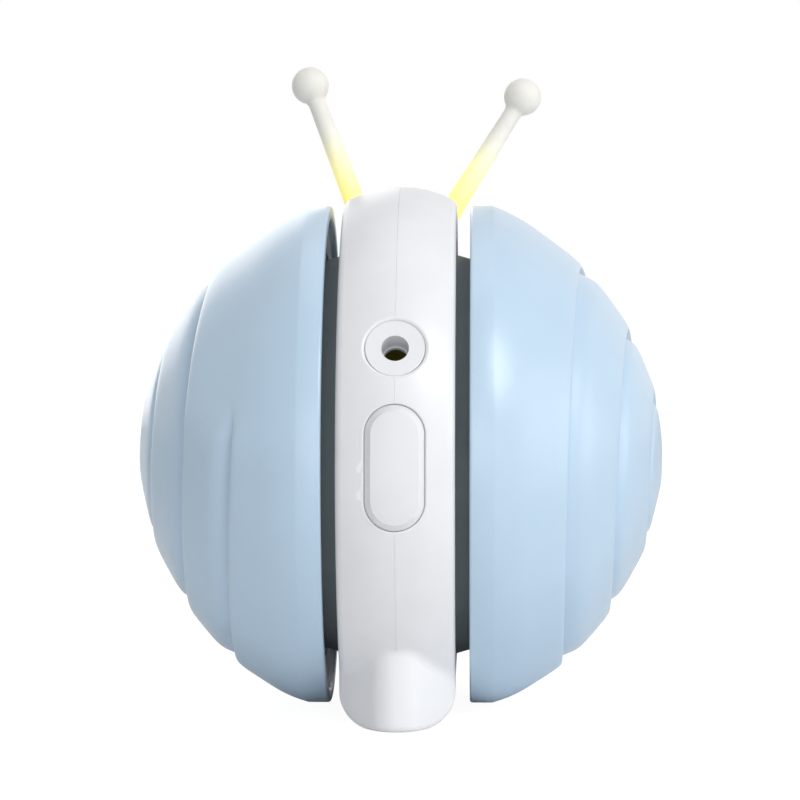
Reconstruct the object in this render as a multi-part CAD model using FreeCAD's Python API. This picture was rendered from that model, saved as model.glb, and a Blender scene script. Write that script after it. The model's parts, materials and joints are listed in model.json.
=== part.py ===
import FreeCAD
import Part
import math
import os

from FreeCAD import Vector

# Motorized snail cat toy. Millimetres. +Z up, the tail points to -Y, the axle lies along X.
# Shapes are drawn about the axle and lifted by the wheel radius when they are written.

# Wheels
wheel_radius = 42.2
rim_plane_x = 11.8
shell_depth = 32.6
shell_wall = 2.2
rim_step_depth = 3.7
shell_paraboloid_radius = 48.1
groove_first_radius = 30.7
groove_pitch = 11.0
groove_offset = 2.0
groove_start_pitch = 4.2
groove_start_flare = 6.2
groove_start_turn = 0.2
groove_fade_turn = 0.235
groove_last_radius = 2.4
whorl_bulge = 0.052
whorl_wide_bulge = 0.35
whorl_fullness = 4
shell_rows = 34
shell_columns = 60
shell_cap_radius = 0.8
shell_inner_gap = 0.4
cavity_edge_inset = 0.4
shell_post_circle = 20.0
shell_post_radius = 2.6
shell_post_count = 3

# Body band
band_radius = 45.4
band_width = 19.0
band_crown_radius = 19.6
band_corner = 1.8
band_wall = 2.0
side_wall = 1.8
side_opening_radius = 26.5
sole_height = 2.0
sole_corner = 5.0
parting_groove = 0.07
blank_margin = 1.0

# Tail skid
tail_top_drop = 29.0
tail_lean = 5.5
tail_nose_half_width = 2.5
tail_nose_depth = 9.0
tail_length = 16.0
tail_nose_blend = 4.6
tail_root_blend = 2.0
tail_sole_corner = 5.3
tail_toe_blend = 0.9

# Teaser socket in the back of the band
socket_angle = 26.4
socket_bore_radius = 2.2
socket_bore_length = 4.2
socket_head_radius = 4.75
socket_head_thickness = 1.3
socket_body_radius = 3.9
socket_floor = 0.8
socket_exit_radius = 1.95
socket_recess = 0.75
socket_rim_blend = 0.5
socket_gap = 0.04

# Mode button
button_width = 9.5
button_length = 20.0
button_angle = 1.5
button_proud = 0.6
button_bevel = 1.0
button_gap = 0.08
button_window_blend = 0.25
button_travel = 0.5
button_flange = 1.0
button_stem_radius = 2.0

# Switch and control board
board_inset = 12.2
board_thickness = 1.2
board_height = 30.0
switch_side = 6.0
switch_depth = 3.5
plunger_radius = 1.7
plunger_length = 1.6

# Antennas
antenna_root_x = 6.4
antenna_root_angle = 58.1
antenna_base_lean = 27.0
antenna_forward_lean = 11.0
antenna_left_lean = 21.4
antenna_right_lean = 31.9
antenna_length = 25.0
antenna_root_radius = 1.9
antenna_tip_radius = 1.5
antenna_ball_radius = 3.3
antenna_stub = 2.4
antenna_flange_radius = 2.7
antenna_flange_thickness = 1.0
antenna_flange_depth = 5.6
lamp_radius = 1.5
lamp_length = 4.5
lamp_flange_radius = 1.85

# Hub drum, gear plate and wheel frame
drum_radius = 33.9
drum_draft = 0.29
drum_wall = 1.6
drum_end_wall = 1.8
drum_corner = 2.5
gear_plate_thickness = 1.5
gear_plate_radius = 31.6
frame_gap = 1.4
frame_wall = 1.5
frame_web = 1.8
frame_flange_inset = 1.0
frame_flange_thickness = 1.6
frame_boss_radius = 4.0
frame_boss_length = 6.6
hub_gap = 0.6

# Gear train
gear_module = 0.5
pinion_teeth = 12
idler_teeth = 36
output_teeth = 40
pressure_angle = 20.0
addendum = 0.8
dedendum = 1.1
tooth_backlash = 0.08
centre_clearance = 0.06
gear_width = 2.4
gear_gap = 0.4
second_direction = 110.0
first_direction = 20.0
motor_direction = -45.0
gear_hub_radius = 1.5
output_hub_radius = 2.6

# Shafts and bushes
axle_radius = 1.5
pin_radius = 0.75
shaft_radius = 0.6
running_clearance = 0.05
bush_radius = 2.75
bush_flange_radius = 3.4
bush_flange = 0.6

# Motors
motor_diameter = 12.0
motor_flat = 10.0
motor_can_length = 12.2
motor_cap_length = 3.2
motor_boss_radius = 2.2
motor_boss_length = 0.9
motor_screw_offset = 4.1

# Battery and charging
battery_size = Vector(8.0, 30.0, 20.0)
battery_centre = Vector(0.0, -3.0, -17.0)
tray_wall = 1.4
tray_rim = 5.0
port_size = Vector(8.94, 3.26, 7.3)
port_y = 9.0
port_wall = 0.4
port_clearance = 0.25
charge_board_length = 13.0
charge_board_thickness = 1.0

# Screws
screw_radius = 1.0
screw_head_radius = 1.9
screw_head_height = 1.3
screw_clearance = 0.15
casing_boss_radius = 2.9
casing_boss_circle = 38.6
casing_screw_angles = (15.0, 95.0, 222.0, 320.0)
plate_screw_circle = 29.1
plate_screw_angles = (90.0, 210.0, 330.0)
standoff_circle = 25.5
standoff_radius = 2.5
standoff_angles = (30.0, 150.0, 270.0)
small_screw_radius = 0.8
fit_gap = 0.1

# Planes across the axle, worked out from the values above
half_band = band_width / 2
casing_inner_x = half_band - side_wall
casing_inner_radius = band_radius - band_wall
plate_out_x = half_band + gear_plate_thickness
layer_a_x = plate_out_x + gear_gap
layer_b_x = layer_a_x + gear_width + gear_gap
layer_c_x = layer_b_x + gear_width + gear_gap
drum_inner_x = layer_c_x + gear_width + gear_gap + bush_flange
drum_end_x = drum_inner_x + drum_end_wall
boss_start_x = drum_end_x + hub_gap
web_inner_x = boss_start_x + fit_gap
web_outer_x = web_inner_x + frame_web
boss_end_x = boss_start_x + frame_boss_length
flange_inner_x = rim_plane_x + frame_flange_inset
flange_outer_x = flange_inner_x + frame_flange_thickness
shell_lip_radius = wheel_radius - shell_wall
cavity_edge_radius = wheel_radius - cavity_edge_inset
motor_back_x = half_band - motor_can_length - motor_cap_length
sole_z = sole_height - wheel_radius
inner_sole_z = sole_z + band_wall
board_half_width = casing_inner_x - fit_gap
board_face_y = band_radius - board_inset
pin_start_x = half_band + fit_gap
pin_end_x = drum_inner_x + drum_end_wall / 2

along_x = Vector(1, 0, 0)
along_y = Vector(0, 1, 0)
along_z = Vector(0, 0, 1)
origin = Vector(0, 0, 0)


def save(name, shape):
    lifted = shape.copy()
    lifted.translate(Vector(0, 0, wheel_radius))
    lifted.exportStep("parts/" + name + ".step")


def turned(shape):
    """The other side's copy: the same piece turned half a turn about the vertical."""
    copy = shape.copy()
    copy.rotate(origin, along_z, 180)
    return copy


def save_pair(name, shape):
    save("right_" + name, shape)
    save("left_" + name, turned(shape))


def group(shapes):
    return Part.makeCompound(shapes)


def disc(x0, x1, radius, y=0.0, z=0.0):
    return Part.makeCylinder(radius, x1 - x0, Vector(x0, y, z), along_x)


def rod(base, direction, start, end, radius):
    axis = Vector(direction)
    axis.normalize()
    return Part.makeCylinder(radius, end - start, base + axis * start, axis)


def block(x0, x1, y0, y1, z0, z1):
    return Part.makeBox(x1 - x0, y1 - y0, z1 - z0, Vector(x0, y0, z0))


def around(radius, degrees):
    """Y and Z of a point on a circle about the axle, measured from +Y towards +Z."""
    angle = math.radians(degrees)
    return radius * math.cos(angle), radius * math.sin(angle)


def revolved(points):
    """A ring about the axle from its outline, given as (x, radius) points."""
    outline = [Vector(x, 0, r) for x, r in points]
    face = Part.Face(Part.makePolygon(outline + [outline[0]]))
    return face.revolve(origin, along_x, 360)


def edges_at(shape, test):
    return [edge for edge in shape.Edges if test(edge)]


def crown_radius_at(x, crest):
    """Radius of a crowned band's surface at a distance x from its middle."""
    return crest - band_crown_radius + math.sqrt(band_crown_radius**2 - x**2)


def band_solid(crest, half_width, core):
    """A crowned ring about the axle: the outside of the body, or its cavity."""
    edge_radius = crown_radius_at(half_width, crest)
    middle = Vector(0, 0, crest)
    left = Vector(-half_width, 0, edge_radius)
    right = Vector(half_width, 0, edge_radius)
    crown = Part.Arc(left, middle, right).toShape()
    sides = Part.makePolygon([right, Vector(half_width, 0, core), Vector(-half_width, 0, core), left])
    face = Part.Face(Part.Wire([crown] + sides.Edges))
    return face.revolve(origin, along_x, 360)


def keel(bottom, corner, y0, y1):
    """The room above a sole: a long bar along Y with rounded lower edges."""
    bar = block(-half_band, half_band, y0, y1, bottom, 2 * band_radius)
    lower = edges_at(bar, lambda e: e.BoundBox.YLength > (y1 - y0) / 2 and e.BoundBox.ZMax < bottom + 0.01)
    return bar.makeFillet(corner, lower)


def tail_reach():
    """How far back the tail's nose comes at the ground. It leaves the band at its top drop."""
    leave = math.sqrt(band_radius**2 - tail_top_drop**2)
    return leave + (wheel_radius - tail_top_drop) * math.tan(math.radians(tail_lean))


def unleaned_y(place):
    """Where a place would lie along Y if it were slid down the tail's lean to the ground."""
    return place.y - (place.z + wheel_radius) * math.tan(math.radians(tail_lean))


def tail_blank():
    """A leaning block with a blunt nose and sloping cheeks, larger all round than the finished tail."""
    nose_y = -tail_reach()
    side_x = half_band + blank_margin
    cheek_y = nose_y + tail_nose_depth * (side_x - tail_nose_half_width) / (half_band - tail_nose_half_width)
    back_y = nose_y + 1.5 * tail_length
    outline = [
        Vector(-tail_nose_half_width, nose_y, -wheel_radius),
        Vector(tail_nose_half_width, nose_y, -wheel_radius),
        Vector(side_x, cheek_y, -wheel_radius),
        Vector(side_x, back_y, -wheel_radius),
        Vector(-side_x, back_y, -wheel_radius),
        Vector(-side_x, cheek_y, -wheel_radius),
    ]
    face = Part.Face(Part.makePolygon(outline + [outline[0]]))
    lean = math.tan(math.radians(tail_lean))
    face.translate(Vector(0, -band_radius * lean, -band_radius))
    height = band_radius + wheel_radius - tail_top_drop * 0.6
    solid = face.extrude(Vector(0, height * lean, height))
    return solid.makeFillet(tail_nose_blend, edges_at(solid, on_nose_corner))


def on_nose_corner(edge):
    places = edge_places(edge)
    upright = edge.BoundBox.ZLength > wheel_radius - tail_top_drop
    return upright and all(abs(abs(place.x) - tail_nose_half_width) < 0.01 for place in places)


def body_outside():
    """The band with its tail: blended while still too wide, then cut to its width and to its soles."""
    far = 2 * band_radius
    body = band_solid(band_radius, half_band + blank_margin, side_opening_radius - 1).fuse(tail_blank())
    body = body.makeFillet(tail_root_blend, edges_at(body, on_tail_root))
    body = body.common(block(-half_band, half_band, -far, far, -far, far))
    body = body.makeFillet(band_corner, edges_at(body, on_outer_rim))
    room = keel(sole_z, sole_corner, -far, far)
    room = room.fuse(keel(-wheel_radius, tail_sole_corner, -far, tail_length - tail_reach()))
    body = body.common(room.removeSplitter())
    return body.makeFillet(tail_toe_blend, edges_at(body, on_toe))


def on_tail_root(edge):
    """True for the edges where the tail's nose and cheeks leave the crowned band."""
    places = edge_places(edge)
    crowned = all(on_crown(place) for place in places)
    across = edge.BoundBox.XLength > 0.01
    low = max(place.z for place in places) < 0
    return crowned and across and low and max(place.y for place in places) < tail_length - tail_reach()


def on_outer_rim(edge):
    """True for a side's outline: the band's rim, the blend at the tail's root and the tail's cheek."""
    places = edge_places(edge)
    if any(abs(abs(place.x) - half_band) > 0.01 for place in places):
        return False
    middle = places[2]
    on_tail = unleaned_y(middle) < tail_nose_depth - tail_reach() + 0.01
    outside = math.hypot(middle.y, middle.z) > casing_inner_radius - blank_margin
    return outside and (on_crown(middle) or on_tail) and middle.z > -band_radius - wheel_radius + 1


def on_toe(edge):
    """True for the front edges of the tail's sole, up to where its rounded corners end."""
    places = edge_places(edge)
    along_side = edge.BoundBox.XLength < 0.01 and edge.BoundBox.ZLength < 0.01
    before_back = all(place.y < tail_length - tail_reach() - 0.5 for place in places)
    return all(on_tail_sole(place) for place in places) and before_back and not along_side


def on_tail_sole(place):
    """True on the flat of the tail's sole and on its two rounded corners."""
    middle_x = half_band - tail_sole_corner
    middle_z = tail_sole_corner - wheel_radius
    if abs(place.x) < middle_x:
        return abs(place.z + wheel_radius) < 0.01
    from_middle = math.hypot(abs(place.x) - middle_x, min(0.0, place.z - middle_z))
    return place.z < middle_z + 0.01 and abs(from_middle - tail_sole_corner) < 0.01


def edge_places(edge):
    first, last = edge.ParameterRange
    return [edge.valueAt(first + (last - first) * share) for share in (0.0, 0.25, 0.5, 0.75, 1.0)]


def body_cavity():
    floor = block(-band_width, band_width, -band_radius, band_radius, inner_sole_z, band_radius)
    core = side_opening_radius - 2
    return band_solid(casing_inner_radius, casing_inner_x, core).common(floor)


def outward(degrees):
    """Unit vector in the middle plane, at an angle above the horizontal, towards the tail side."""
    angle = math.radians(degrees)
    return Vector(0, -math.cos(angle), math.sin(angle))


def socket_base():
    return outward(socket_angle) * band_radius


def socket_cut():
    way = outward(socket_angle)
    head_floor = -socket_recess - socket_head_thickness
    spot = rod(socket_base(), way, head_floor, 2, socket_head_radius + socket_gap)
    neck = rod(socket_base(), way, -2 * socket_bore_length, 2, socket_body_radius + socket_gap)
    return spot.fuse(neck)


def teaser_socket():
    way = outward(socket_angle)
    top = -socket_recess
    end = top - socket_bore_length - socket_floor
    head = rod(socket_base(), way, top - socket_head_thickness, top, socket_head_radius)
    body = rod(socket_base(), way, end, top, socket_body_radius)
    bore = rod(socket_base(), way, top - socket_bore_length, 1, socket_bore_radius)
    exit_hole = rod(socket_base(), way, end - 1, 1, socket_exit_radius)
    return head.fuse(body).cut(bore).cut(exit_hole).removeSplitter()


def pill(grow, y0, y1):
    """A pill-shaped bar that points at the button's place, from y0 to y1 out from the axle."""
    half_width = button_width / 2 + grow
    straight = button_length / 2 - button_width / 2
    bar = block(-half_width, half_width, -y1, -y0, -straight, straight)
    for z in (-straight, straight):
        bar = bar.fuse(Part.makeCylinder(half_width, y1 - y0, Vector(0, -y1, z), along_y))
    bar = bar.removeSplitter()
    bar.rotate(origin, along_x, -button_angle)
    return bar


def button_cut():
    return pill(button_gap, casing_inner_radius - 4, band_radius + 4)


def mode_button():
    crest = band_radius + button_proud
    cap = pill(0, casing_inner_radius - 4, band_radius + 4)
    core = side_opening_radius
    cap = cap.common(band_solid(crest, half_band, core))
    top_edges = edges_at(cap, lambda e: radius_of(e) > crown_radius_at(button_width / 2, crest) - 1)
    cap = cap.makeChamfer(button_bevel, top_edges)
    flange_top = casing_inner_radius - button_gap
    flange = pill(button_flange, casing_inner_radius - 4, band_radius)
    flange = flange.common(band_solid(flange_top, casing_inner_x - button_gap, core))
    back_y = casing_inner_radius - 3
    keep = block(-band_width, band_width, -2 * band_radius, -back_y, -band_radius, band_radius)
    stem_end = board_face_y + switch_depth + plunger_length
    stem = rod(origin, outward(button_angle), stem_end, back_y + 1, button_stem_radius)
    return cap.fuse(flange).common(keep).fuse(stem).removeSplitter()


def radius_of(edge):
    """The least distance of an edge from the axle."""
    return min(math.hypot(place.y, place.z) for place in edge_places(edge))


def antenna_root(side):
    y, z = around(band_radius, antenna_root_angle)
    drop = band_radius - crown_radius_at(antenna_root_x, band_radius)
    share = (band_radius - drop) / band_radius
    return Vector(side * antenna_root_x, y * share, z * share)


def lean_direction(side, sideways):
    across = math.radians(sideways)
    ahead = math.radians(antenna_forward_lean)
    flat = math.cos(ahead)
    return Vector(side * math.sin(across) * flat, math.sin(ahead), math.cos(across) * flat)


def antenna_cut(side):
    way = lean_direction(side, antenna_base_lean)
    depth = antenna_flange_depth
    return rod(antenna_root(side), way, -depth, antenna_stub + 3, antenna_root_radius + fit_gap)


def flex_centre(side):
    way = lean_direction(side, antenna_base_lean)
    return antenna_root(side) + way * (antenna_stub + antenna_root_radius * 0.55)


def antenna_base(side):
    root = antenna_root(side)
    way = lean_direction(side, antenna_base_lean)
    stub = rod(root, way, -antenna_flange_depth, antenna_stub, antenna_root_radius + fit_gap / 2)
    flange_end = -antenna_flange_depth + antenna_flange_thickness
    flange = rod(root, way, -antenna_flange_depth, flange_end, antenna_flange_radius)
    cup = Part.makeSphere(antenna_root_radius + fit_gap, flex_centre(side))
    lamp_hole = rod(root, way, -antenna_flange_depth - 1, -antenna_flange_depth + 2.6, lamp_radius + fit_gap)
    return stub.fuse(flange).cut(cup).cut(lamp_hole).removeSplitter()


def antenna(side, sideways):
    centre = flex_centre(side)
    way = lean_direction(side, sideways)
    tip = centre + way * antenna_length
    stalk = Part.makeCone(antenna_root_radius, antenna_tip_radius, antenna_length, centre, way)
    foot = Part.makeSphere(antenna_root_radius, centre)
    ball = Part.makeSphere(antenna_ball_radius, tip)
    return stalk.fuse([foot, ball]).removeSplitter()


def lamp(side):
    root = antenna_root(side)
    way = lean_direction(side, antenna_base_lean)
    dome_end = -antenna_flange_depth + 2.2 - lamp_radius
    start = dome_end - lamp_length + lamp_radius
    body = rod(root, way, start, dome_end, lamp_radius)
    dome = Part.makeSphere(lamp_radius, root + way * dome_end)
    rim = rod(root, way, start, start + 0.8, lamp_flange_radius)
    return body.fuse([dome, rim]).removeSplitter()


def lamp_bracket():
    """A shelf across the casing that holds both lamps under the antennas."""
    way = lean_direction(1, antenna_base_lean)
    start = -antenna_flange_depth + 2.2 - lamp_length
    seat = antenna_root(1) + way * (start - 0.5)
    thick = 1.5
    shelf = block(-board_half_width, board_half_width, seat.y - 2.6, seat.y + 2.2, seat.z - thick, seat.z)
    for side in (-1, 1):
        lean = lean_direction(side, antenna_base_lean)
        hole = rod(antenna_root(side), lean, start - 6, start + 4, lamp_flange_radius + fit_gap)
        shelf = shelf.cut(hole)
    return shelf


def casing_boss_places():
    return [around(casing_boss_circle, angle) for angle in casing_screw_angles]


def plate_screw_places():
    return [around(plate_screw_circle, angle) for angle in plate_screw_angles]


def plate_boss(y, z):
    return disc(casing_inner_x - 3, casing_inner_x, screw_radius + 1.4, y, z)


def port_opening(grow):
    """The charging socket's outline, a flat oval, as an upright bar through the sole."""
    half_thick = port_size.y / 2 + grow
    straight = port_size.x / 2 - port_size.y / 2
    bottom = sole_z - 2
    height = port_size.z + 2
    bar = block(-straight, straight, port_y - half_thick, port_y + half_thick, bottom, bottom + height)
    for x in (-straight, straight):
        bar = bar.fuse(Part.makeCylinder(half_thick, height, Vector(x, port_y, bottom)))
    return bar.removeSplitter()


def on_crown(place):
    return abs(math.hypot(place.y, place.z) - crown_radius_at(place.x, band_radius)) < 0.02


def on_socket_rim(edge):
    """True for the outer edge of the recess around the teaser socket."""
    way = outward(socket_angle)
    radius = socket_head_radius + socket_gap
    return all(on_crown(p) and abs(p.cross(way).Length - radius) < 0.02 for p in edge_places(edge))


def on_button_rim(edge):
    """True for the outer edge of the window around the mode button."""
    way = outward(button_angle)
    along = outward(button_angle + 90)
    straight = button_length / 2 - button_width / 2
    radius = button_width / 2 + button_gap
    for place in edge_places(edge):
        past_straight = max(0.0, abs(place.dot(along)) - straight)
        across = math.hypot(place.x, past_straight)
        if place.dot(way) < 0 or not on_crown(place) or abs(across - radius) > 0.02:
            return False
    return True


def hollow_body():
    body = body_outside().cut(body_cavity())
    for y, z in casing_boss_places():
        body = body.fuse(disc(-casing_inner_x, casing_inner_x, casing_boss_radius, y, z))
    body = body.cut(disc(-band_width, band_width, side_opening_radius))
    for y, z in plate_screw_places():
        body = body.fuse(plate_boss(y, z))
        body = body.fuse(turned(plate_boss(y, z)))
    for y, z in plate_screw_places():
        hole = disc(casing_inner_x - 4, half_band + 1, small_screw_radius, y, z)
        body = body.cut(hole)
        body = body.cut(turned(hole))
    body = body.cut(socket_cut())
    body = body.cut(button_cut())
    body = body.makeFillet(socket_rim_blend, edges_at(body, on_socket_rim))
    body = body.makeFillet(button_window_blend, edges_at(body, on_button_rim))
    body = body.cut(antenna_cut(1))
    body = body.cut(antenna_cut(-1))
    body = body.cut(port_opening(port_clearance))
    return body


def parting_ring():
    """A shallow V around the body where the two halves meet."""
    deep = parting_groove
    points = [(-deep, band_radius + 0.1), (deep, band_radius + 0.1), (0.0, band_radius - deep)]
    return revolved(points)


def casings():
    body = hollow_body().cut(parting_ring())
    far = 2 * band_radius
    right = body.common(block(0, band_width, -far, far, -far, far))
    left = body.common(block(-band_width, 0, -far, far, -far, far))
    for y, z in casing_boss_places():
        left = left.cut(disc(-band_width, 1, screw_radius + screw_clearance, y, z))
        sink_end_x = -half_band + screw_head_height + 0.4
        left = left.cut(disc(-band_width, sink_end_x, screw_head_radius + 0.2, y, z))
        right = right.cut(disc(-1, casing_inner_x - 1, screw_radius, y, z))
    return left, right


def casing_screws():
    screws = []
    for y, z in casing_boss_places():
        head_start = -half_band + 0.4
        shank = disc(head_start, casing_inner_x - 2, screw_radius, y, z)
        head = disc(head_start, head_start + screw_head_height, screw_head_radius, y, z)
        screws.append(shank.fuse(head).removeSplitter())
    return group(screws)


def involute(angle):
    return math.tan(angle) - angle


def tooth_half_angle(radius, pitch_radius, teeth):
    pressure = math.radians(pressure_angle)
    base_radius = pitch_radius * math.cos(pressure)
    half = math.pi / (2 * teeth) - tooth_backlash / (4 * pitch_radius)
    at_radius = math.acos(min(1.0, base_radius / max(radius, base_radius)))
    return half + involute(pressure) - involute(at_radius)


def gear(teeth, x0, x1, y, z, phase_degrees):
    """A spur gear on an axis along X, with a tooth centred on the phase angle from +Y towards +Z."""
    pitch_radius = gear_module * teeth / 2
    tip = pitch_radius + addendum * gear_module
    root = pitch_radius - dedendum * gear_module
    levels = [root, pitch_radius * math.cos(math.radians(pressure_angle))]
    levels = [level for level in levels if level < pitch_radius]
    levels = sorted(levels) + [pitch_radius, (pitch_radius + tip) / 2, tip]
    points = []
    for tooth in range(teeth):
        middle = math.radians(phase_degrees) + 2 * math.pi * tooth / teeth
        for side, steps in ((-1, levels), (1, list(reversed(levels)))):
            for level in steps:
                angle = middle + side * tooth_half_angle(level, pitch_radius, teeth)
                points.append(Vector(x0, y + level * math.cos(angle), z + level * math.sin(angle)))
    face = Part.Face(Part.makePolygon(points + [points[0]]))
    return face.extrude(Vector(x1 - x0, 0, 0))


def centre_distance(teeth_one, teeth_two):
    return gear_module * (teeth_one + teeth_two) / 2 + centre_clearance


def second_place():
    return around(centre_distance(output_teeth, pinion_teeth), second_direction)


def first_place():
    y, z = second_place()
    dy, dz = around(centre_distance(pinion_teeth, idler_teeth), first_direction)
    return y + dy, z + dz


def motor_place():
    y, z = first_place()
    dy, dz = around(centre_distance(pinion_teeth, idler_teeth), motor_direction)
    return y + dy, z + dz


def meshed_phase(direction, teeth):
    """Phase that puts a gap where the driving gear's tooth points, half a turn round."""
    return direction + 180.0 + 180.0 / teeth


def output_gear():
    x1 = layer_c_x + gear_width
    wheel = gear(output_teeth, layer_c_x, x1, 0, 0, second_direction)
    hub = disc(plate_out_x + bush_flange + gear_gap, layer_c_x + 0.5, output_hub_radius)
    return wheel.fuse(hub).cut(disc(0, 2 * x1, axle_radius)).removeSplitter()


def second_gear():
    y, z = second_place()
    large = gear(idler_teeth, layer_b_x, layer_b_x + gear_width, y, z, first_direction)
    phase = meshed_phase(second_direction, pinion_teeth)
    small = gear(pinion_teeth, layer_b_x + gear_width - 0.2, layer_c_x + gear_width, y, z, phase)
    hub = disc(plate_out_x + fit_gap, layer_b_x + 0.2, gear_hub_radius, y, z)
    cap = disc(layer_c_x + gear_width - 0.2, drum_inner_x - fit_gap, gear_hub_radius, y, z)
    bore = disc(0, 2 * drum_end_x, pin_radius + running_clearance, y, z)
    return large.fuse([small, hub, cap]).cut(bore).removeSplitter()


def first_gear():
    y, z = first_place()
    large = gear(idler_teeth, layer_a_x, layer_a_x + gear_width, y, z, motor_direction)
    phase = meshed_phase(first_direction, pinion_teeth)
    small = gear(pinion_teeth, layer_a_x + gear_width - 0.2, layer_b_x + gear_width, y, z, phase)
    hub = disc(plate_out_x + fit_gap, layer_a_x + 0.2, gear_hub_radius, y, z)
    cap = disc(layer_b_x + gear_width - 0.2, drum_inner_x - fit_gap, gear_hub_radius, y, z)
    bore = disc(0, 2 * drum_end_x, pin_radius + running_clearance, y, z)
    return large.fuse([small, hub, cap]).cut(bore).removeSplitter()


def motor_pinion():
    y, z = motor_place()
    phase = meshed_phase(motor_direction, pinion_teeth)
    small = gear(pinion_teeth, layer_a_x, layer_a_x + gear_width, y, z, phase)
    return small.cut(disc(0, 2 * drum_end_x, shaft_radius, y, z))


def motor_outline(x0, x1, y, z):
    """A round can with two flats, across Z."""
    half = motor_flat / 2
    round_can = disc(x0, x1, motor_diameter / 2, y, z)
    return round_can.common(block(x0, x1, y - motor_diameter, y + motor_diameter, z - half, z + half))


def motor_can():
    y, z = motor_place()
    can = motor_outline(half_band - motor_can_length, half_band, y, z)
    boss = disc(half_band, half_band + motor_boss_length, motor_boss_radius, y, z)
    can = can.fuse(boss).removeSplitter()
    can = can.cut(disc(-half_band, 2 * half_band, shaft_radius + running_clearance, y, z))
    for offset in (-motor_screw_offset, motor_screw_offset):
        can = can.cut(disc(half_band - 2, half_band + 1, small_screw_radius, y + offset, z))
    return can


def motor_cap():
    y, z = motor_place()
    seam_x = half_band - motor_can_length
    cap = motor_outline(motor_back_x, seam_x, y, z)
    return cap.cut(disc(motor_back_x + 1, seam_x + 1, shaft_radius + running_clearance, y, z))


def motor_shaft():
    y, z = motor_place()
    return disc(motor_back_x + 1 + fit_gap, layer_a_x + gear_width, shaft_radius, y, z)


def motor_screws():
    y, z = motor_place()
    screws = []
    for offset in (-motor_screw_offset, motor_screw_offset):
        screw = disc(half_band - 1.8, plate_out_x, small_screw_radius, y + offset, z)
        screws.append(screw)
        screws.append(turned(screw))
    return group(screws)


def pin(place):
    y, z = place
    return disc(pin_start_x, pin_end_x, pin_radius, y, z)


def axle():
    end_x = boss_end_x - 0.3
    shaft = disc(half_band - 1, end_x, axle_radius)
    return shaft.cut(disc(end_x - frame_boss_length, end_x + 1, small_screw_radius))


def bush(x0, x1, flange_x0, flange_x1):
    body = disc(x0, x1, bush_radius)
    flange = disc(flange_x0, flange_x1, bush_flange_radius)
    return body.fuse(flange).cut(disc(-1, 2 * x1, axle_radius + running_clearance)).removeSplitter()


def inner_bush():
    return bush(half_band - 1, plate_out_x + bush_flange, plate_out_x, plate_out_x + bush_flange)


def outer_bush():
    return bush(drum_inner_x - bush_flange, drum_end_x + 0.2, drum_inner_x - bush_flange, drum_inner_x)


def drum_outer_radius(x):
    return drum_radius - drum_draft * (x - half_band)


def standoff_places():
    return [around(standoff_circle, angle) for angle in standoff_angles]


def gear_plate():
    plate = disc(half_band, plate_out_x, gear_plate_radius)
    for y, z in standoff_places():
        post = disc(plate_out_x - 0.1, drum_inner_x, standoff_radius, y, z)
        plate = plate.fuse(post)
    for y, z in standoff_places():
        plate = plate.cut(disc(drum_inner_x - 5, drum_end_x, small_screw_radius, y, z))
    for y, z in plate_screw_places():
        plate = plate.cut(disc(0, drum_end_x, small_screw_radius + screw_clearance, y, z))
    plate = plate.cut(disc(0, drum_end_x, bush_radius))
    for y, z in (first_place(), second_place()):
        plate = plate.cut(disc(0, drum_end_x, pin_radius, y, z))
    y, z = motor_place()
    plate = plate.cut(disc(0, drum_end_x, motor_boss_radius + fit_gap / 2, y, z))
    for offset in (-motor_screw_offset, motor_screw_offset):
        plate = plate.cut(disc(0, drum_end_x, small_screw_radius, y + offset, z))
    return plate.removeSplitter()


def gear_plate_screws():
    screws = []
    for y, z in plate_screw_places():
        screw = disc(plate_out_x, plate_out_x + 1.0, screw_head_radius - 0.2, y, z)
        screw = screw.fuse(disc(casing_inner_x - 2.5, plate_out_x + 0.2, small_screw_radius, y, z))
        screw = screw.removeSplitter()
        screws.append(screw)
        screws.append(turned(screw))
    return group(screws)


def hub_drum():
    end_radius = drum_outer_radius(drum_end_x)
    outer = revolved([(half_band, 0), (half_band, drum_radius), (drum_end_x, end_radius), (drum_end_x, 0)])
    rim = edges_at(outer, lambda e: e.BoundBox.XMin > drum_end_x - 0.01 and e.BoundBox.YLength > end_radius)
    outer = outer.makeFillet(drum_corner, rim)
    mouth = drum_radius - drum_wall
    floor_radius = drum_outer_radius(drum_inner_x) - drum_wall
    inner = revolved([
        (half_band - 1, 0),
        (half_band - 1, mouth),
        (half_band, mouth),
        (drum_inner_x, floor_radius),
        (drum_inner_x, 0),
    ])
    drum = outer.cut(inner)
    drum = drum.cut(disc(drum_inner_x - 1, drum_end_x + 1, bush_radius))
    for y, z in standoff_places():
        drum = drum.cut(disc(drum_inner_x - 1, drum_end_x + 1, small_screw_radius + screw_clearance, y, z))
        drum = drum.cut(disc(drum_end_x - 1.0, drum_end_x + 1, screw_head_radius + screw_clearance, y, z))
    for y, z in (first_place(), second_place()):
        drum = drum.cut(disc(drum_inner_x - 1, pin_end_x + fit_gap, pin_radius, y, z))
    return drum


def drum_screws():
    screws = []
    for y, z in standoff_places():
        head = disc(drum_end_x - 1.0, drum_end_x - 0.05, screw_head_radius, y, z)
        shank = disc(drum_inner_x - 4.5, drum_end_x - 0.9, small_screw_radius, y, z)
        screw = head.fuse(shank).removeSplitter()
        screws.append(screw)
        screws.append(turned(screw))
    return group(screws)


def frame_inner_radius(x):
    return drum_outer_radius(x) + frame_gap


def post_places():
    angles = [90 + 360 * index / shell_post_count for index in range(shell_post_count)]
    return [around(shell_post_circle, angle) for angle in angles]


def cavity_radius(x):
    """Radius of the shell's inside wall at a place along the axle."""
    share = (x - rim_plane_x) / (shell_depth - shell_wall)
    return min(shell_lip_radius, cavity_edge_radius * math.sqrt(1 - share))


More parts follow.
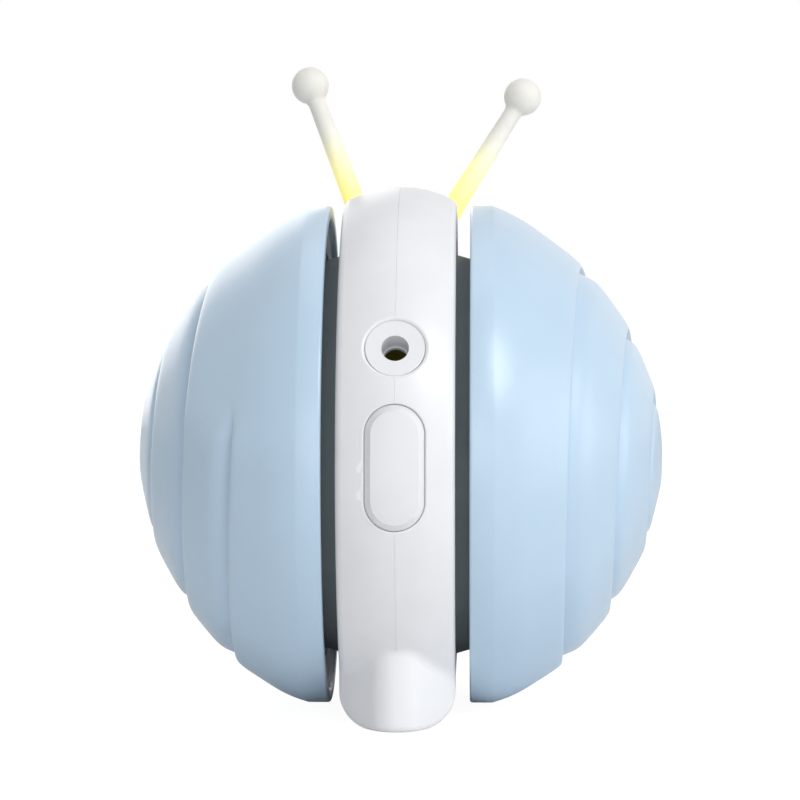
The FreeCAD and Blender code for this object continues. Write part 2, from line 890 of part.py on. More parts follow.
def wheel_frame():
    """The dark dish inside the shell that carries it on the axle. Its outer corner follows the shell."""
    mouth = frame_inner_radius(flange_inner_x)
    throat = frame_inner_radius(web_inner_x)
    shoulder = throat + frame_wall
    shoulder_x = rim_plane_x + cavity_depth(shoulder + shell_inner_gap)
    flange_radius = cavity_radius(flange_outer_x) - fit_gap
    outline = [
        (flange_inner_x, mouth),
        (flange_inner_x, flange_radius),
        (flange_outer_x, flange_radius),
        (flange_outer_x, mouth + frame_wall),
        (shoulder_x, shoulder),
        (web_outer_x, cavity_radius(web_outer_x) - shell_inner_gap),
        (web_outer_x, frame_boss_radius),
        (boss_end_x, frame_boss_radius),
        (boss_end_x, axle_radius),
        (boss_start_x, axle_radius),
        (boss_start_x, frame_boss_radius),
        (web_inner_x, frame_boss_radius),
        (web_inner_x, throat),
    ]
    dish = revolved(outline)
    for y, z in post_places():
        dish = dish.cut(disc(web_inner_x - 1, web_outer_x + 1, small_screw_radius + screw_clearance, y, z))
        dish = dish.cut(disc(web_inner_x - 1, web_inner_x + 0.9, screw_head_radius + screw_clearance, y, z))
    return dish


def wheel_screw():
    head = disc(boss_end_x, boss_end_x + screw_head_height, screw_head_radius + 0.5)
    shank = disc(boss_end_x - 5, boss_end_x + 0.2, small_screw_radius)
    return head.fuse(shank).removeSplitter()


def shell_screws():
    screws = []
    for y, z in post_places():
        head = disc(web_inner_x + 0.05, web_inner_x + 0.9, screw_head_radius, y, z)
        shank = disc(web_inner_x + 0.7, web_outer_x + 4, small_screw_radius, y, z)
        screws.append(head.fuse(shank).removeSplitter())
    return group(screws)


def groove_radius(turns):
    """Radius of the spiral groove after so many turns from the top of the shell, its middle off the axle."""
    back = 1.0 - turns
    middle = groove_first_radius - groove_offset * math.sin(2 * math.pi * turns)
    if back < 0:
        return middle + groove_pitch * back
    return middle + groove_start_pitch * back + groove_start_flare * back**2


def notch_depth(radius):
    """How far the grooves stand out from the rim plane: a paraboloid."""
    return shell_depth * (1 - (radius / shell_paraboloid_radius) ** 2)


def whorl_depth(radius, outer, outer_depth, inner):
    """One whorl: a bulge over the straight line between two neighbouring grooves, more where they lie far apart."""
    share = (outer - radius) / (outer - inner)
    middle = (outer + inner) / 2
    near_middle = min(1.0, max(0.0, (middle - 3) / 6))
    bulge = whorl_bulge * middle * near_middle
    bulge += whorl_wide_bulge * max(0.0, outer - inner - groove_pitch)
    arch = bulge * (1 - abs(2 * share - 1) ** whorl_fullness)
    return outer_depth + (notch_depth(inner) - outer_depth) * share + arch


def terraced_depth(radius, grooves):
    outer = wheel_radius
    outer_depth = rim_step_depth
    for inner in grooves:
        if radius >= inner:
            return whorl_depth(radius, outer, outer_depth, inner)
        outer = inner
        outer_depth = notch_depth(inner)
    return notch_depth(radius)


def shell_height(radius, degrees):
    """Depth of the shell's outside from the rim plane, at a radius and an angle from the top."""
    turns = (degrees / 360.0) % 1.0
    if turns < groove_start_turn:
        turns += 1
    count = int(groove_first_radius / groove_pitch) + 2
    grooves = [groove_radius(turns + lap) for lap in range(count)]
    grooves = [groove for groove in grooves if groove > groove_last_radius]
    depth = terraced_depth(radius, grooves)
    if turns < groove_fade_turn:
        share = (turns - groove_start_turn) / (groove_fade_turn - groove_start_turn)
        share = share * share * (3 - 2 * share)
        depth = share * depth + (1 - share) * terraced_depth(radius, grooves[1:])
    return depth


def shell_outside():
    """The shell as a full solid: the spiral skin, a short straight step at its rim, and two flat caps."""
    span = wheel_radius - 1.2 - shell_cap_radius
    steps = [span * row / (shell_rows - 1) for row in range(shell_rows)]
    radii = [wheel_radius, wheel_radius - 0.2, wheel_radius - 0.6]
    radii += [wheel_radius - 1.2 - step for step in steps]
    grid = []
    for radius in radii:
        row = []
        for column in range(shell_columns + 1):
            degrees = 360.0 * (column % shell_columns) / shell_columns
            depth = shell_height(radius, degrees)
            if radius == radii[0]:
                depth = rim_step_depth
            if radius == radii[-1]:
                depth = shell_depth
            angle = math.radians(degrees)
            row.append(Vector(rim_plane_x + depth, radius * math.sin(angle), radius * math.cos(angle)))
        grid.append(row)
    surface = Part.BSplineSurface()
    surface.interpolate(grid)
    face = surface.toShape()
    edges = sorted((edge for edge in face.Edges if edge.isClosed()), key=lambda edge: edge.Length)
    step = edges[-1].extrude(Vector(-rim_step_depth, 0, 0))
    low_edge = min((edge for edge in step.Edges if edge.isClosed()), key=lambda edge: edge.BoundBox.XMax)
    caps = [Part.Face(Part.Wire([edge])) for edge in (edges[0], low_edge)]
    skin = Part.Shell([face, step.Faces[0]] + [cap.copy() for cap in caps])
    skin.sewShape()
    return Part.Solid(skin)


def cavity_depth(radius):
    return (shell_depth - shell_wall) * (1 - (radius / cavity_edge_radius) ** 2)


def shell_cavity():
    """The room inside the shell: a smaller paraboloid with a straight lip."""
    lip = shell_lip_radius
    start = rim_plane_x - 1
    curve_radii = [lip * (1 - step / 9.0) for step in range(10)]
    points = [Vector(rim_plane_x + cavity_depth(radius), 0, radius) for radius in curve_radii]
    curve = Part.BSplineCurve()
    curve.interpolate(points)
    sides = Part.makePolygon([points[-1], Vector(start, 0, 0), Vector(start, 0, lip), points[0]])
    face = Part.Face(Part.Wire([curve.toShape()] + sides.Edges))
    return face.revolve(origin, along_x, 360)


def wheel_shell():
    shell = shell_outside().cut(shell_cavity())
    for y, z in post_places():
        post = disc(web_outer_x, rim_plane_x + shell_depth, shell_post_radius, y, z).common(outside_core())
        shell = shell.fuse(post)
    for y, z in post_places():
        shell = shell.cut(disc(web_outer_x - 1, web_outer_x + 4.5, small_screw_radius, y, z))
    return shell


def outside_core():
    """A paraboloid just inside the shell's skin, which the posts reach but don't pass."""
    core = shell_cavity()
    core.translate(Vector(shell_wall / 2, 0, 0))
    return core


def battery_cell():
    low = battery_centre - battery_size * 0.5
    high = battery_centre + battery_size * 0.5
    cell = block(low.x, high.x, low.y, high.y, low.z, high.z)
    long_edges = edges_at(cell, lambda e: e.BoundBox.YLength > battery_size.y - 0.1)
    return cell.makeFillet(2.0, long_edges)


def battery_tray():
    """A cradle across the casing; its ends bear on the casing's side walls."""
    low = battery_centre - battery_size * 0.5
    high = battery_centre + battery_size * 0.5
    bottom = low.z - tray_wall
    top = low.z + tray_rim
    outer = block(-board_half_width, board_half_width, low.y - tray_wall, high.y + tray_wall, bottom, top)
    pocket = block(low.x - fit_gap, high.x + fit_gap, low.y - fit_gap, high.y + fit_gap, low.z, top + 1)
    window = block(low.x + 2, high.x - 2, low.y + 4, high.y - 4, bottom - 1, low.z + 1)
    trim = disc(-band_width, band_width, casing_inner_radius - 3)
    return outer.cut(pocket).cut(window).common(trim)


def control_board():
    half = board_height / 2
    board = block(
        -board_half_width, board_half_width, -board_face_y, -board_face_y + board_thickness, -half, half
    )
    for x in (-board_half_width + 2, board_half_width - 2):
        for z in (-half + 2, half - 2):
            hole = Part.makeCylinder(0.9, 4, Vector(x, -board_face_y - 1, z), along_y)
            board = board.cut(hole)
    return board


def control_chips():
    """The packages soldered to the board's inner face."""
    face_y = -board_face_y + board_thickness
    chips = []
    for x, z, wide, high, thick in ((0, 8, 5, 6, 1.4), (0, -2, 4, 5, 1.4), (0, -10, 9, 3, 1.0)):
        chips.append(block(x - wide / 2, x + wide / 2, face_y, face_y + thick, z - high / 2, z + high / 2))
    return group(chips)


def switch_body():
    half = switch_side / 2
    base = block(-half, half, -board_face_y - switch_depth, -board_face_y, -half, half)
    base.rotate(origin, along_x, -button_angle)
    base = base.common(block(-half, half, -band_radius, -board_face_y, -switch_side, switch_side))
    way = outward(button_angle)
    bore_start = board_face_y + switch_depth - 1.5
    bore = rod(origin, way, bore_start, band_radius, plunger_radius + running_clearance)
    return base.cut(bore)


def switch_plunger():
    start = board_face_y + switch_depth - 1.5 + button_travel + fit_gap
    end = board_face_y + switch_depth + plunger_length
    return rod(origin, outward(button_angle), start, end, plunger_radius)


def charge_port():
    outer = port_opening(0)
    low = sole_z + 0.3
    keep = block(-band_width, band_width, -band_radius, band_radius, low, sole_z + port_size.z)
    room = port_opening(-port_wall)
    room_keep = block(-band_width, band_width, -band_radius, band_radius, low - 1, sole_z + port_size.z - 1)
    body = outer.common(keep).cut(room.common(room_keep))
    tongue = block(-3.3, 3.3, port_y - 0.35, port_y + 0.35, low + 0.6, sole_z + port_size.z - 0.5)
    return body.fuse(tongue).removeSplitter()


def charge_board():
    """A board across the casing, on top of the charging socket."""
    top = sole_z + port_size.z
    deep = charge_board_length / 2
    return block(
        -board_half_width, board_half_width, port_y - deep, port_y + deep, top, top + charge_board_thickness
    )


def write_body():
    left, right = casings()
    save("left_casing", left)
    save("right_casing", right)
    save("casing_screws", casing_screws())
    save("teaser_socket", teaser_socket())
    save("mode_button", mode_button())
    save("switch_body", switch_body())
    save("switch_plunger", switch_plunger())
    save("control_board", control_board())
    save("control_chips", control_chips())
    save("battery_cell", battery_cell())
    save("battery_tray", battery_tray())
    save("charge_port", charge_port())
    save("charge_board", charge_board())


def write_antennas():
    save("right_antenna_base", antenna_base(1))
    save("left_antenna_base", antenna_base(-1))
    save("right_antenna", antenna(1, antenna_right_lean))
    save("left_antenna", antenna(-1, antenna_left_lean))
    save("right_lamp", lamp(1))
    save("left_lamp", lamp(-1))
    save("lamp_bracket", lamp_bracket())


def write_drives():
    save_pair("gear_plate", gear_plate())
    save_pair("hub_drum", hub_drum())
    save_pair("motor_can", motor_can())
    save_pair("motor_cap", motor_cap())
    save_pair("motor_shaft", motor_shaft())
    save_pair("motor_pinion", motor_pinion())
    save_pair("first_gear", first_gear())
    save_pair("second_gear", second_gear())
    save_pair("output_gear", output_gear())
    save_pair("first_pin", pin(first_place()))
    save_pair("second_pin", pin(second_place()))
    save_pair("inner_bush", inner_bush())
    save_pair("outer_bush", outer_bush())
    save("motor_screws", motor_screws())
    save("gear_plate_screws", gear_plate_screws())
    save("drum_screws", drum_screws())


def write_wheels():
    save_pair("axle", axle())
    save_pair("wheel_frame", wheel_frame())
    save_pair("wheel_screw", wheel_screw())
    save_pair("shell_screws", shell_screws())
    save_pair("shell", wheel_shell())


os.makedirs("parts", exist_ok=True)
write_body()
write_antennas()
write_drives()
write_wheels()
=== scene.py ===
import json
import math

import bmesh
import bpy
from mathutils import Matrix, Vector


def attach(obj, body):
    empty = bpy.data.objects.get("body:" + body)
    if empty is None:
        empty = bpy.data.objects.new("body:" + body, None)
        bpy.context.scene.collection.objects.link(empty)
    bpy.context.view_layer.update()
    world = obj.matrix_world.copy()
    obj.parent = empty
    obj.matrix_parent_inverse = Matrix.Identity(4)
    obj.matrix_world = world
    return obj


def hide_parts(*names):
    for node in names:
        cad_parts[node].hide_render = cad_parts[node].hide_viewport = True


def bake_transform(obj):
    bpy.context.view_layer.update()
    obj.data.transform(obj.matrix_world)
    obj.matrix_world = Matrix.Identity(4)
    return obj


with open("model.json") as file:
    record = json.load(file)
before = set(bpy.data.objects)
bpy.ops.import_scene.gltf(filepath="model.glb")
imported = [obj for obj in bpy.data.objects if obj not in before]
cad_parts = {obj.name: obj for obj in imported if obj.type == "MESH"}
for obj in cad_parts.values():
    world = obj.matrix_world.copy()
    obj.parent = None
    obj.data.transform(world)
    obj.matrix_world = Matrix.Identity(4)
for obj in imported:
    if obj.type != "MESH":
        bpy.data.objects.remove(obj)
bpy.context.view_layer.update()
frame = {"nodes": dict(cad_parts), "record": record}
nodes = frame["nodes"]
mm = 0.001
axleHeight = 42.2  # the shells' radius, so they stand on the floor

# X runs along the axle, the tail and the button face -Y, and Z is up


class Wire:
    def __init__(self, tree, socket):
        self.tree = tree
        self.socket = socket

    def maths(self, operation, first, second):
        return addNode(self.tree, "ShaderNodeMath", {"operation": operation}, sockets={0: first, 1: second})

    def __add__(self, other):
        return self.maths("ADD", self, other)

    def __radd__(self, other):
        return self.maths("ADD", other, self)

    def __sub__(self, other):
        return self.maths("SUBTRACT", self, other)

    def __rsub__(self, other):
        return self.maths("SUBTRACT", other, self)

    def __mul__(self, other):
        return self.maths("MULTIPLY", self, other)

    def __rmul__(self, other):
        return self.maths("MULTIPLY", other, self)


def plug(tree, slot, value):
    if isinstance(value, Wire):
        tree.links.new(value.socket, slot)
    else:
        slot.default_value = value


def socketName(node, key):
    wanted = key.replace("_", " ").lower()
    for slot in node.inputs:
        if slot.name.lower() == wanted and slot.enabled:
            return slot.name
    raise KeyError(f"{node.name} has no socket {key}")


def fillStops(band, stops):
    while len(band.elements) < len(stops):
        band.elements.new(0.5)
    for element, (position, colour) in zip(band.elements, stops):
        element.position = position
        element.color = colour


# settings are set first, then sockets by number, then sockets by name
def addNode(tree, kind, settings=None, output=0, sockets=None, **values):
    made = tree.nodes.new(kind)
    for key, value in (settings or {}).items():
        if key == "stops":
            fillStops(made.color_ramp, value)
        else:
            setattr(made, key, value)
    for number, value in (sockets or {}).items():
        plug(tree, made.inputs[number], value)
    for key, value in values.items():
        plug(tree, made.inputs[socketName(made, key)], value)
    return Wire(tree, made.outputs[output])


class Finish:
    def __init__(self, name):
        self.material = bpy.data.materials.new(name)
        self.material.use_nodes = True
        self.tree = self.material.node_tree
        self.shader = next(n for n in self.tree.nodes if n.type == "BSDF_PRINCIPLED")
        self.place = self.node("ShaderNodeTexCoord", output="Object")

    def node(self, kind, settings=None, output=0, sockets=None, **values):
        return addNode(self.tree, kind, settings, output, sockets, **values)

    def set(self, **values):
        for key, value in values.items():
            plug(self.tree, self.shader.inputs[socketName(self.shader, key)], value)

    def noise(self, scale, detail=2.0, roughness=0.5):
        return self.node("ShaderNodeTexNoise", vector=self.place, scale=scale, detail=detail,
                         roughness=roughness)

    def ramp(self, factor, *stops):
        return self.node("ShaderNodeValToRGB", {"stops": stops}, fac=factor)

    def mix(self, factor, first, second):
        return self.node("ShaderNodeMix", {"data_type": "RGBA"}, 2, {0: factor, 6: first, 7: second})

    def bump(self, height, strength, distance):
        return self.node("ShaderNodeBump", height=height, strength=strength, distance=distance)


def rgba(red, green, blue):
    return (red, green, blue, 1.0)


def shade(base, factor):
    return rgba(*(min(1.0, part * factor) for part in base))


# keys are the part's material slots, and grain is the strength of the fine bumps
plastics = {
    "white_plastic": {"name": "whiteBody", "base": (0.80, 0.81, 0.835), "roughness": 0.33, "grain": 0.03},
    "button_plastic": {"name": "whiteButton", "base": (0.78, 0.79, 0.82), "roughness": 0.36, "grain": 0.03},
    "shell_blue": {"name": "blueShell", "base": (0.48, 0.635, 0.785), "roughness": 0.36, "grain": 0.25,
                   "specks": 0.012, "coat": 0.55},
    "slate_plastic": {"name": "slateDrum", "base": (0.32, 0.37, 0.39), "roughness": 0.5, "grain": 0.12,
                      "specks": 0.06},
    "gear_nylon": {"name": "naturalNylon", "base": (0.80, 0.78, 0.70), "roughness": 0.4, "grain": 0.05},
    "black_plastic": {"name": "blackPlastic", "base": (0.02, 0.02, 0.022), "roughness": 0.4, "grain": 0.08,
                      "specks": 0.1},
}

metals = {
    "steel": {"name": "brightSteel", "base": (0.56, 0.57, 0.58), "roughness": 0.28},
    "brass": {"name": "turnedBrass", "base": (0.72, 0.52, 0.24), "roughness": 0.3},
}


def mouldedPlastic(name, base, roughness, grain, specks=0.02, coat=0.0):
    made = Finish(name)
    cloud = made.noise(90.0, 3.0)
    fine = made.noise(2600.0, 2.0, 0.6)
    tint = made.ramp(cloud, (0.35, shade(base, 1 - specks)), (0.65, shade(base, 1 + specks)))
    made.set(base_color=tint, roughness=roughness - 0.03 + fine * 0.06, coat_weight=coat,
             coat_roughness=0.26, normal=made.bump(fine, grain, 0.0001))
    return made.material


def brushedMetal(name, base, roughness):
    made = Finish(name)
    drawnOut = made.node("ShaderNodeMapping", vector=made.place, scale=(0.06, 1.0, 1.0))
    streaks = made.node("ShaderNodeTexNoise", vector=drawnOut, scale=900.0, detail=3.0)
    tint = made.ramp(streaks, (0.3, shade(base, 0.9)), (0.7, shade(base, 1.06)))
    made.set(base_color=tint, metallic=1.0, roughness=roughness - 0.06 + streaks * 0.12,
             normal=made.bump(streaks, 0.05, 0.0001))
    return made.material


# painted lamp light: yellow base colour and emission near the foot stand in for the lamp at the foot
# shining up the stalk; milky above it
def antennaSilicone():
    made = Finish("softSilicone")
    along = made.node("ShaderNodeAttribute", {"attribute_name": "alongStalk"}, output="Fac")
    cloud = made.noise(500.0, 2.0)
    milky = made.mix(cloud, rgba(0.75, 0.74, 0.70), rgba(0.80, 0.79, 0.75))
    nearFoot = made.ramp(along, (0.0, rgba(1, 1, 1)), (0.55, rgba(0, 0, 0)))
    # the yellow mixed in near the foot is painted lamp light, not the silicone's own colour
    tint = made.mix(nearFoot, milky, rgba(0.93, 0.86, 0.34))
    # emission fading up the stalk is a painted glow from the lamp at the foot
    paintedLampGlow = made.ramp(along, (0.0, rgba(0.56, 0.47, 0.03)), (0.32, rgba(0.42, 0.37, 0.07)),
                     (0.50, rgba(0.16, 0.155, 0.09)), (0.66, rgba(0.05, 0.05, 0.045)))
    made.set(base_color=tint, roughness=0.55 + cloud * 0.1, emission_color=paintedLampGlow, emission_strength=1.0,
             subsurface_weight=0.25, subsurface_radius=(0.9, 0.9, 0.7), subsurface_scale=0.002,
             normal=made.bump(made.noise(3000.0), 0.04, 0.0001))
    return made.material


def lampLens():
    made = Finish("lampLens")
    amber = made.mix(made.noise(900.0), rgba(0.60, 0.50, 0.20), rgba(0.66, 0.58, 0.30))
    made.set(base_color=amber, roughness=0.12, emission_color=rgba(1.0, 0.8, 0.25), emission_strength=0.02)
    return made.material


def circuitBoard():
    made = Finish("circuitBoard")
    tracks = made.node("ShaderNodeTexVoronoi", {"feature": "DISTANCE_TO_EDGE"}, vector=made.place,
                       scale=420.0)
    mask = made.ramp(tracks, (0.02, rgba(0.01, 0.07, 0.035)), (0.06, rgba(0.016, 0.10, 0.05)))
    made.set(base_color=mask, roughness=0.32, normal=made.bump(tracks, 0.1, 0.0001))
    return made.material


def batteryFoil():
    made = Finish("batteryFoil")
    creases = made.noise(260.0, 4.0, 0.6)
    silver = made.ramp(creases, (0.3, rgba(0.62, 0.64, 0.67)), (0.7, rgba(0.76, 0.78, 0.80)))
    made.set(base_color=silver, metallic=0.9, roughness=0.28 + creases * 0.12,
             normal=made.bump(creases, 0.2, 0.0003))
    return made.material


def makeFinishes():
    finishes = {slot: mouldedPlastic(**about) for slot, about in plastics.items()}
    finishes.update({slot: brushedMetal(**about) for slot, about in metals.items()})
    finishes["antenna_silicone"] = antennaSilicone()
    finishes["lamp_lens"] = lampLens()
    finishes["circuit_board"] = circuitBoard()
    finishes["battery_foil"] = batteryFoil()
    return finishes


def dressNodes(finishes):
    slots = {row["node"]: row["material_slot"] for row in frame["record"]["subparts"]}
    for name, piece in nodes.items():
        piece.data.materials.clear()
        piece.data.materials.append(finishes[slots[name]])


def addPiece(mesh, name, finish, smooth=True):
    data = bpy.data.meshes.new(name)
    mesh.to_mesh(data)
    mesh.free()
    data.materials.append(finish)
    if smooth:
        data.shade_smooth()
    piece = bpy.data.objects.new(name, data)
    bpy.context.scene.collection.objects.link(piece)
    return piece


# turns are counted from the top of the shell, and depths from the plane of its rim
shell = {
    "radius": axleHeight,
    "wall": 2.2,
    "rimPlane": 11.8,  # from the middle of the body
    "depth": 32.6,
    "rimStep": 3.7,
    "rimRound": 0.45,
    "curveRadius": 48.1,  # where the curve through the grooves would meet the rim plane
    "firstGroove": 30.7,
    "pitch": 11.0,
    "offset": 2.0,  # the spiral's middle sits this far from the axle
    "startPitch": 4.2,
    "startFlare": 6.2,
    "startTurn": 0.2,
    "fullTurn": 0.235,
    "lastGroove": 2.4,
    "bulge": 0.052,
    "flatRadius": 3.0,
    "fullBulgeRadius": 9.0,
    "wideBulge": 0.35,  # what each mm of a whorl beyond the pitch adds
    "fullness": 4,
    "lineDepth": 0.8,
    "lineWidth": 0.8,
    "edgeInset": 0.4,
    "rows": 210,
    "rowSpread": 0.8,  # below 1, the rows crowd towards the rim
    "insideRows": 40,
    "arcSteps": 6,
    "columns": 360,
}


def grooveRadius(turns):
    back = 1.0 - turns
    middle = shell["firstGroove"] - shell["offset"] * math.sin(2 * math.pi * turns)
    if back < 0:
        return middle + shell["pitch"] * back
    return middle + shell["startPitch"] * back + shell["startFlare"] * back ** 2


def notchDepth(radius):
    return shell["depth"] * (1 - (radius / shell["curveRadius"]) ** 2)


def whorlDepth(radius, outer, outerDepth, inner):
    share = (outer - radius) / (outer - inner)
    middle = (outer + inner) / 2
    risen = (middle - shell["flatRadius"]) / (shell["fullBulgeRadius"] - shell["flatRadius"])
    bulge = shell["bulge"] * middle * min(1.0, max(0.0, risen))
    bulge += shell["wideBulge"] * max(0.0, outer - inner - shell["pitch"])
    arch = bulge * (1 - abs(2 * share - 1) ** shell["fullness"])
    return outerDepth + (notchDepth(inner) - outerDepth) * share + arch


def terracedDepth(radius, grooves):
    outer, outerDepth = shell["radius"], shell["rimStep"]
    nearest = min(abs(radius - groove) for groove in grooves)
    sunk = shell["lineDepth"] * math.exp(-(nearest / shell["lineWidth"]) ** 2)
    for inner in grooves:
        if radius >= inner:
            return whorlDepth(radius, outer, outerDepth, inner) - sunk
        outer, outerDepth = inner, notchDepth(inner)
    return notchDepth(radius) - sunk


def shellHeight(radius, degrees):
    turns = degrees / 360.0
    if turns < shell["startTurn"]:
        turns += 1
    laps = int(shell["firstGroove"] / shell["pitch"]) + 2
    grooves = [g for g in (grooveRadius(turns + lap) for lap in range(laps)) if g > shell["lastGroove"]]
    depth = terracedDepth(radius, grooves)
    if turns < shell["fullTurn"]:
        share = (turns - shell["startTurn"]) / (shell["fullTurn"] - shell["startTurn"])
        share = share * share * (3 - 2 * share)
        depth = share * depth + (1 - share) * terracedDepth(radius, grooves[1:])
    return depth


def cavityDepth(radius):
    reach = shell["radius"] - shell["edgeInset"]
    return (shell["depth"] - shell["wall"]) * (1 - (radius / reach) ** 2)


# points (x, radius) from the tip over the rim and back inside
def shellProfile(degrees):
    outer, lip, rim = shell["radius"], shell["radius"] - shell["wall"], shell["rimPlane"]
    corner, rows, steps = shell["rimRound"], shell["rows"], shell["arcSteps"]
    points = []
    for row in range(1, rows):
        radius = outer * (row / rows) ** shell["rowSpread"]
        points.append((rim + min(shell["depth"], shellHeight(radius, degrees)), radius))
    points.append((rim + shell["rimStep"], outer))
    arc = [math.radians(90 * step / steps) for step in range(steps + 1)]
    points += [(rim + corner * (1 - math.sin(turn)), outer - corner * (1 - math.cos(turn))) for turn in arc]
    points += [(rim + corner * (1 - math.cos(turn)), lip + corner * (1 - math.sin(turn))) for turn in arc]
    for row in range(shell["insideRows"]):
        radius = lip * (1 - row / shell["insideRows"])
        points.append((rim + cavityDepth(radius), radius))
    return points


def makeShell(side, finish):
    columns = shell["columns"]
    mesh = bmesh.new()
    tip = mesh.verts.new((shell["rimPlane"] + shell["depth"], 0, 0))
    well = mesh.verts.new((shell["rimPlane"] + shell["depth"] - shell["wall"], 0, 0))
    rings = []
    for column in range(columns):
        degrees = 360.0 * column / columns
        turn = math.radians(degrees)
        across, up = math.sin(turn), math.cos(turn)
        rings.append([mesh.verts.new((x, r * across, r * up)) for x, r in shellProfile(degrees)])
    for here, there in zip(rings, rings[1:] + rings[:1]):
        mesh.faces.new((tip, there[0], here[0]))
        for row in range(len(here) - 1):
            mesh.faces.new((here[row], there[row], there[row + 1], here[row + 1]))
        mesh.faces.new((here[-1], there[-1], well))
    turnedAbout = Matrix.Rotation(0 if side == "right" else math.pi, 4, "Z")
    place = Matrix.Translation((0, 0, axleHeight * mm)) @ turnedAbout @ Matrix.Scale(mm, 4)
    bmesh.ops.transform(mesh, matrix=place, verts=mesh.verts)
    bmesh.ops.recalc_face_normals(mesh, faces=mesh.faces)
    piece = addPiece(mesh, side + "ShellSkin", finish)
    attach(piece, side + "_wheel")
    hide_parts(side + "_shell")


antenna = {
    "rootX": 6.4,
    "rootAngle": 58.1,  # round the body, from the front
    "bandRadius": 45.4,
    "crownRadius": 19.6,
    "baseLean": 27.0,
    "forwardLean": 11.0,
    "lean": {"left": 21.4, "right": 31.9},
    "flexAlong": 3.445,
    "bendBefore": 1.0,
    "bendAfter": 8.0,
    "length": 25.0,
    "footRadius": 1.9,
    "tipRadius": 1.5,
    "ballRadius": 3.3,
    "neck": 1.1,
    "collar": 0.35,
    "footRows": 8,
    "stalkRows": 40,
    "ballRows": 24,
    "segments": 48,
}


def antennaRoot(side):
    turn = math.radians(antenna["rootAngle"])
    crown, across = antenna["crownRadius"], antenna["rootX"]
    radius = antenna["bandRadius"] - crown + math.sqrt(crown ** 2 - across ** 2)
    return Vector((side * across, radius * math.cos(turn), radius * math.sin(turn) + axleHeight))


def leanDirection(side, sideways):
    across, ahead = math.radians(sideways), math.radians(antenna["forwardLean"])
    flat = math.cos(ahead)
    return Vector((side * math.sin(across) * flat, math.sin(ahead), math.cos(across) * flat))


# pairs (along, radius) from the foot to the top of the ball
def antennaProfile():
    length, ball = antenna["length"], antenna["ballRadius"]
    foot, tip = antenna["footRadius"], antenna["tipRadius"]
    points = []
    for step in range(1, antenna["footRows"] + 1):
        turn = math.radians(90 * step / antenna["footRows"])
        points.append((-foot * math.cos(turn), foot * math.sin(turn)))
    joinAngle = math.asin((tip + antenna["collar"]) / ball)
    join = length - ball * math.cos(joinAngle)
    for row in range(1, antenna["stalkRows"] + 1):
        share = row / antenna["stalkRows"]
        along = share * join
        radius = foot + (tip - foot) * share
        near = max(0.0, 1 - (join - along) / antenna["neck"])
        points.append((along, radius + (ball * math.sin(joinAngle) - radius) * near ** 2))
    for row in range(1, antenna["ballRows"]):
        turn = joinAngle + (math.pi - joinAngle) * row / antenna["ballRows"]
        points.append((length - ball * math.cos(turn), ball * math.sin(turn)))
    return points


def antennaMesh():
    top = antenna["length"] + antenna["ballRadius"]
    count = antenna["segments"]
    turns = [2 * math.pi * step / count for step in range(count)]
    mesh = bmesh.new()
    foot = mesh.verts.new((0, 0, -antenna["footRadius"]))
    crest = mesh.verts.new((0, 0, top))
    rings = []
    for along, radius in antennaProfile():
        rings.append([mesh.verts.new((radius * math.cos(t), radius * math.sin(t), along)) for t in turns])
    for step in range(count):
        after = (step + 1) % count
        mesh.faces.new((foot, rings[0][after], rings[0][step]))
        mesh.faces.new((crest, rings[-1][step], rings[-1][after]))
        for low, high in zip(rings, rings[1:]):
            mesh.faces.new((low[step], low[after], high[after], high[step]))
    reach = mesh.verts.layers.float.new("alongStalk")
    for vert in mesh.verts:
        vert[reach] = max(0.0, vert.co.z / top)
    return mesh


def makeAntenna(sideName, finish):
    side = 1 if sideName == "right" else -1
    base = leanDirection(side, antenna["baseLean"])
    centre = antennaRoot(side) + base * antenna["flexAlong"]
    way = leanDirection(side, antenna["lean"][sideName])
    mesh = antennaMesh()
    turnTo = way.to_track_quat("Z", "Y").to_matrix().to_4x4()
    place = Matrix.Scale(mm, 4) @ Matrix.Translation(centre) @ turnTo
    bmesh.ops.transform(mesh, matrix=place, verts=mesh.verts)
    piece = addPiece(mesh, sideName + "AntennaStalk", finish)
    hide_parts(sideName + "_antenna")
    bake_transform(piece)


camera = {
    "azimuth": 1.4,
    "elevation": 3.5,
    "distance": 568.0,
    "lens": 150.0,
    "sensor": 36.0,
    "aim": (-0.2, 0.0, 51.4),
}


def aimAt(thing, target):
    thing.rotation_mode = "QUATERNION"
    thing.rotation_quaternion = (Vector(target) - thing.location).to_track_quat("-Z", "Y")


def placeCamera():
    data = bpy.data.cameras.new("photoCamera")
    data.lens = camera["lens"]
    data.sensor_width = camera["sensor"]
    eye = bpy.data.objects.new("photoCamera", data)
    bpy.context.scene.collection.objects.link(eye)
    turn, rise = math.radians(camera["azimuth"]), math.radians(camera["elevation"])
    back = Vector((math.sin(turn) * math.cos(rise), -math.cos(turn) * math.cos(rise), math.sin(rise)))
    target = Vector(camera["aim"]) * mm
    eye.location = target + back * camera["distance"] * mm
    aimAt(eye, target)
    bpy.context.scene.camera = eye


# places and sizes in metres, powers in watts
lamps = {
    "key": {"at": (0.42, -0.55, 0.62), "size": 0.45, "power": 3.2},
    "front": {"at": (-0.05, -0.95, 0.2), "size": 0.5, "power": 1.0},
    "right": {"at": (0.8, -0.2, 0.15), "size": 0.7, "power": 1.6},
    "low": {"at": (0.3, -0.7, -0.02), "size": 0.5, "power": 0.6},
    "top": {"at": (0.0, 0.1, 0.8), "size": 0.6, "power": 0.7},
    "back": {"at": (-0.35, 0.85, 0.35), "size": 0.7, "power": 1.4},
}

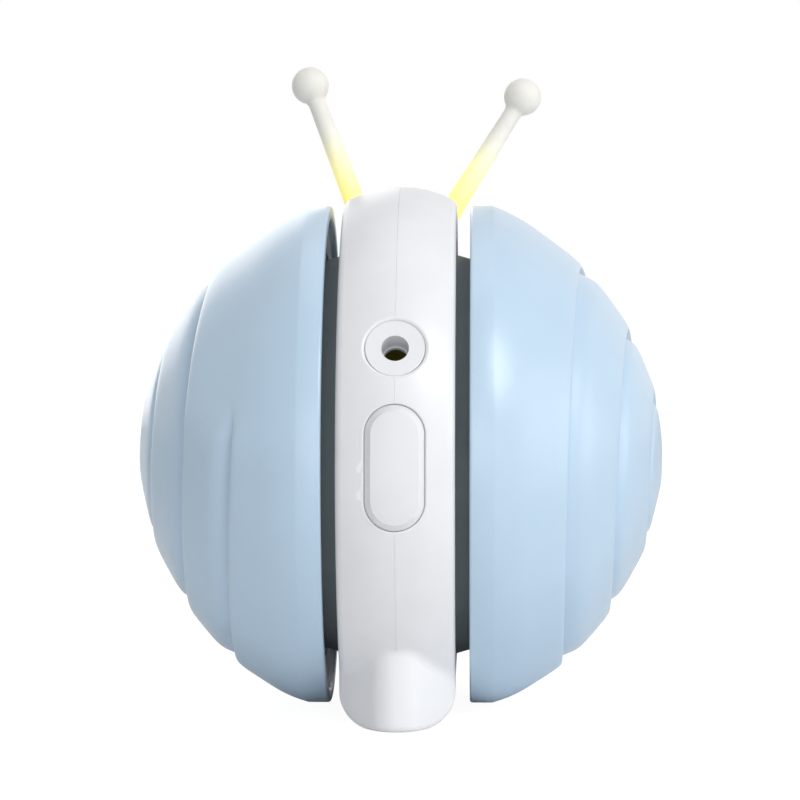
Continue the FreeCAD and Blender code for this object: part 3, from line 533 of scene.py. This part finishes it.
studio = {
    "ambient": 0.36,
    "lampTarget": (0.0, 0.0, 0.045),
    "floorReach": 4.0,
    "floorGlow": 1.12,
    "floorShare": 0.85,  # how much of the floor the camera sees as plain white
}


def addLamp(name, about):
    data = bpy.data.lights.new(name, "AREA")
    data.shape = "DISK"
    data.size = about["size"]
    data.energy = about["power"]
    lamp = bpy.data.objects.new(name + "Light", data)
    bpy.context.scene.collection.objects.link(lamp)
    lamp.location = about["at"]
    aimAt(lamp, studio["lampTarget"])


def lightPath(tree, kind):
    return addNode(tree, "ShaderNodeLightPath", output=kind)


def makeWorld():
    world = bpy.data.worlds.new("studio")
    bpy.context.scene.world = world
    world.use_nodes = True
    tree = world.node_tree
    background = next(n for n in tree.nodes if n.type == "BACKGROUND")
    white = lightPath(tree, "Is Camera Ray") + lightPath(tree, "Is Glossy Ray")
    white = white + lightPath(tree, "Is Transmission Ray")
    plug(tree, background.inputs["Color"], rgba(1.0, 1.0, 1.0))
    plug(tree, background.inputs["Strength"], (1 - white) * studio["ambient"] + white)


def makeFloor():
    mesh = bmesh.new()
    bmesh.ops.create_grid(mesh, x_segments=1, y_segments=1, size=studio["floorReach"])
    made = Finish("paleFloor")
    made.set(base_color=rgba(0.9, 0.9, 0.9), roughness=0.6)
    white = made.node("ShaderNodeEmission", color=rgba(1.0, 1.0, 1.0), strength=studio["floorGlow"])
    plain = Wire(made.tree, made.shader.outputs[0])
    share = lightPath(made.tree, "Is Camera Ray") * studio["floorShare"]
    both = made.node("ShaderNodeMixShader", sockets={0: share, 1: plain, 2: white})
    end = next(n for n in made.tree.nodes if n.type == "OUTPUT_MATERIAL")
    plug(made.tree, end.inputs["Surface"], both)
    floor = addPiece(mesh, "floor", made.material, smooth=False)


def makeStudio():
    bpy.context.scene.view_settings.view_transform = "Standard"
    makeWorld()
    for name, about in lamps.items():
        addLamp(name, about)
    makeFloor()


print("frame:", len(nodes), "nodes")
placeCamera()
makeStudio()
print("studio ready")
finishes = makeFinishes()
dressNodes(finishes)
print("finishes ready")
for side in ("left", "right"):
    makeShell(side, finishes["shell_blue"])
    makeAntenna(side, finishes["antenna_silicone"])
print("shells and antennas ready")
